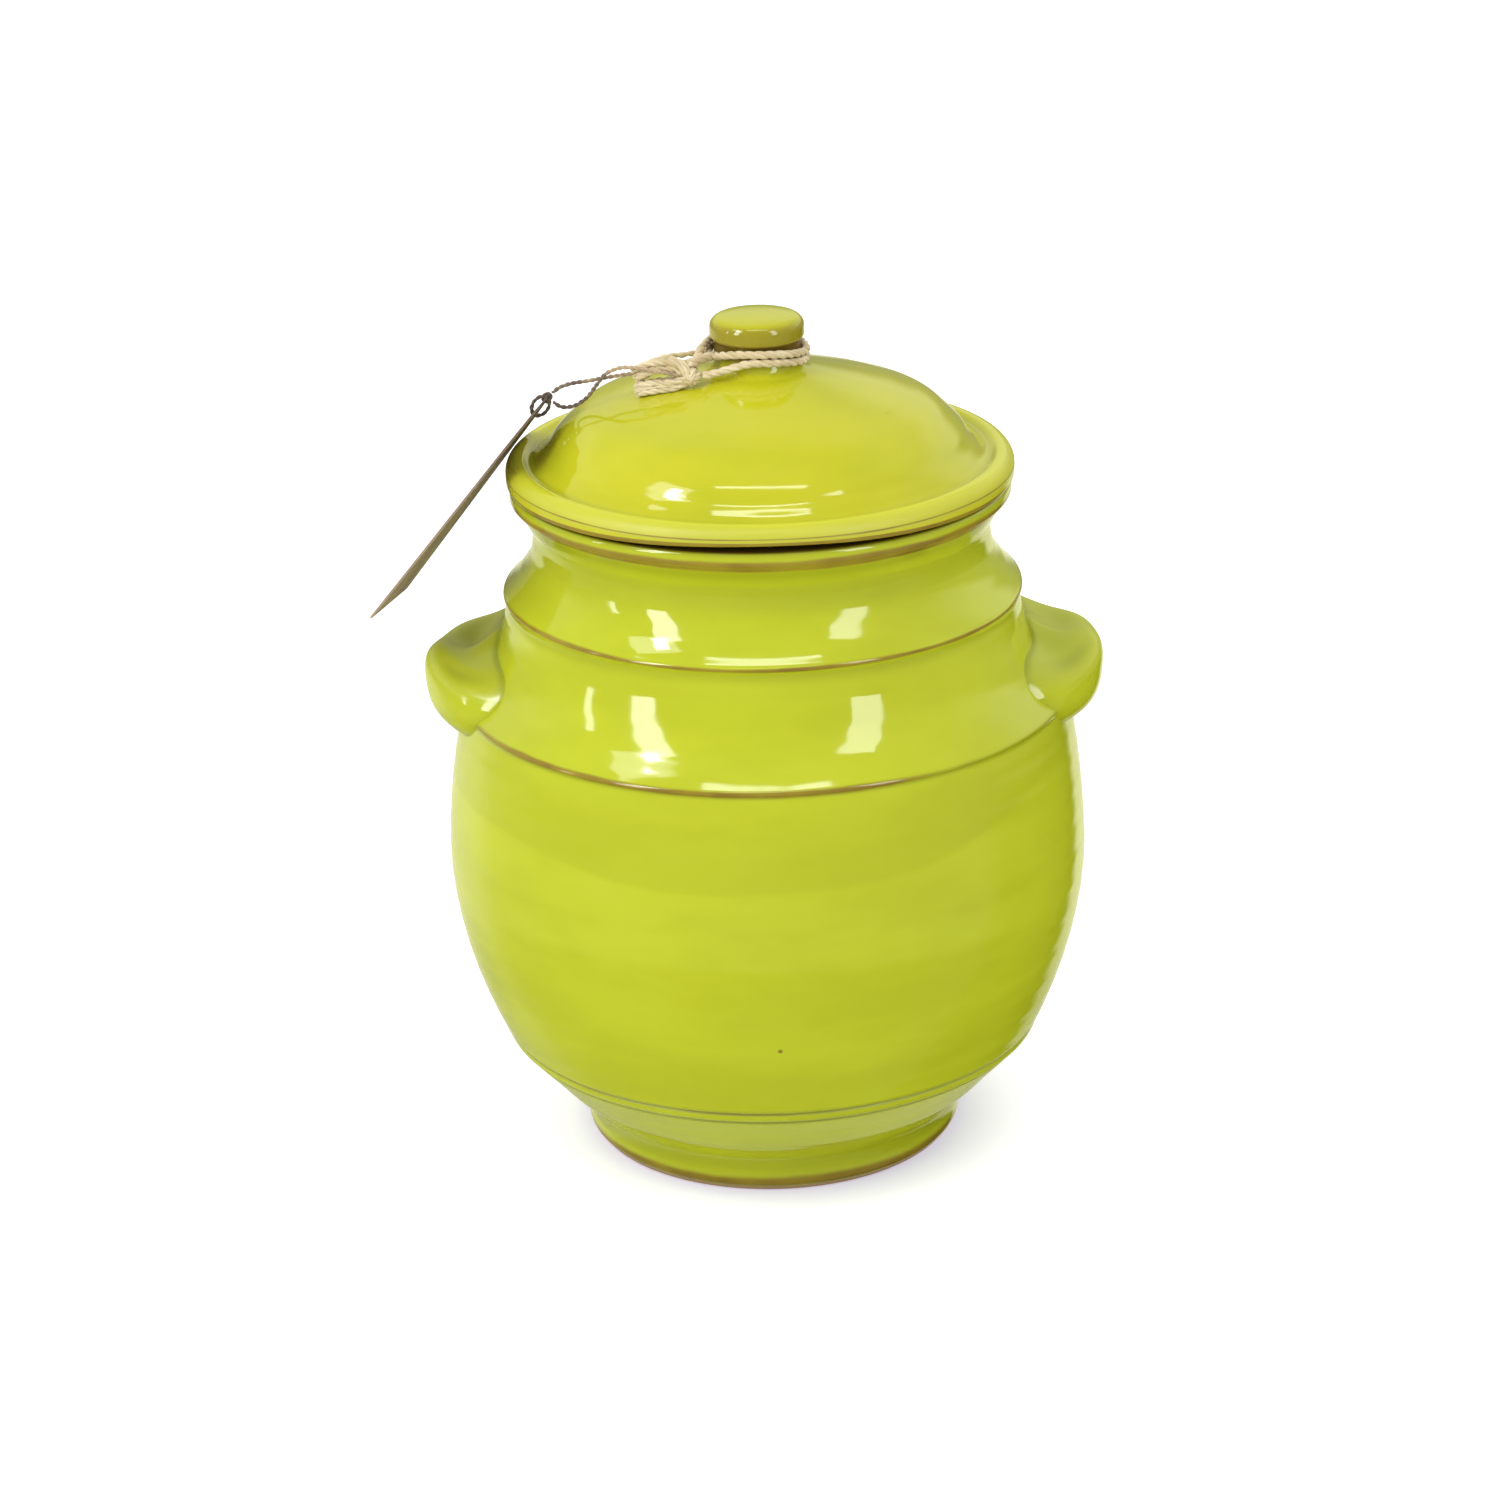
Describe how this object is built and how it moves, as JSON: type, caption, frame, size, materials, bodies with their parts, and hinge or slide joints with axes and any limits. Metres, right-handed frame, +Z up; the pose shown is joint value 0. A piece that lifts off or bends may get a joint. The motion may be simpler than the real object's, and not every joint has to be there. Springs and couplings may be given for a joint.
{
  "type": "lidded storage jar",
  "caption": "Round-bellied glazed earthenware storage jar with two lug handles, a domed lift-off lid with a knob, and a card tag tied to the knob with twine.",
  "frame": {"origin": "centre of the foot, on the surface that the jar stands on", "axes": "+Z up along the jar's turning axis, handles at -X and +X, tag at -X, front at -Y"},
  "size_m": [0.2301, 0.2056, 0.2737],
  "materials": {
    "lime_glaze": "glossy glaze, thin and brown on the ridges",
    "olive_glaze": "glossy glaze",
    "twine": "natural twine",
    "thread": "thin natural string",
    "card": "matt card"
  },
  "bodies": {
    "jar": {"jar_body": "lime_glaze", "handle_left": "lime_glaze", "handle_right": "lime_glaze"},
    "lid": {"lid": "lime_glaze", "knob": "olive_glaze", "tie_wrap": "twine", "tie_knot": "twine", "tie_tail_upper": "twine", "tie_tail_lower": "twine", "tag_string_upper": "thread", "tag_string_lower": "thread"},
    "tag": {"tag": "card", "tag_hitch": "thread"}
  },
  "joints": [
    {"name": "lid_lift", "type": "slide", "parent": "jar", "child": "lid", "axis": [0, 0, 1], "range_m": [0, 0.15]},
    {"name": "tag_swing", "type": "hinge", "parent": "lid", "child": "tag", "pos_m": [-0.066, 0, 0.248], "axis": [0.14, 0.984, -0.1105], "range_deg": [0, 80]}
  ]
}
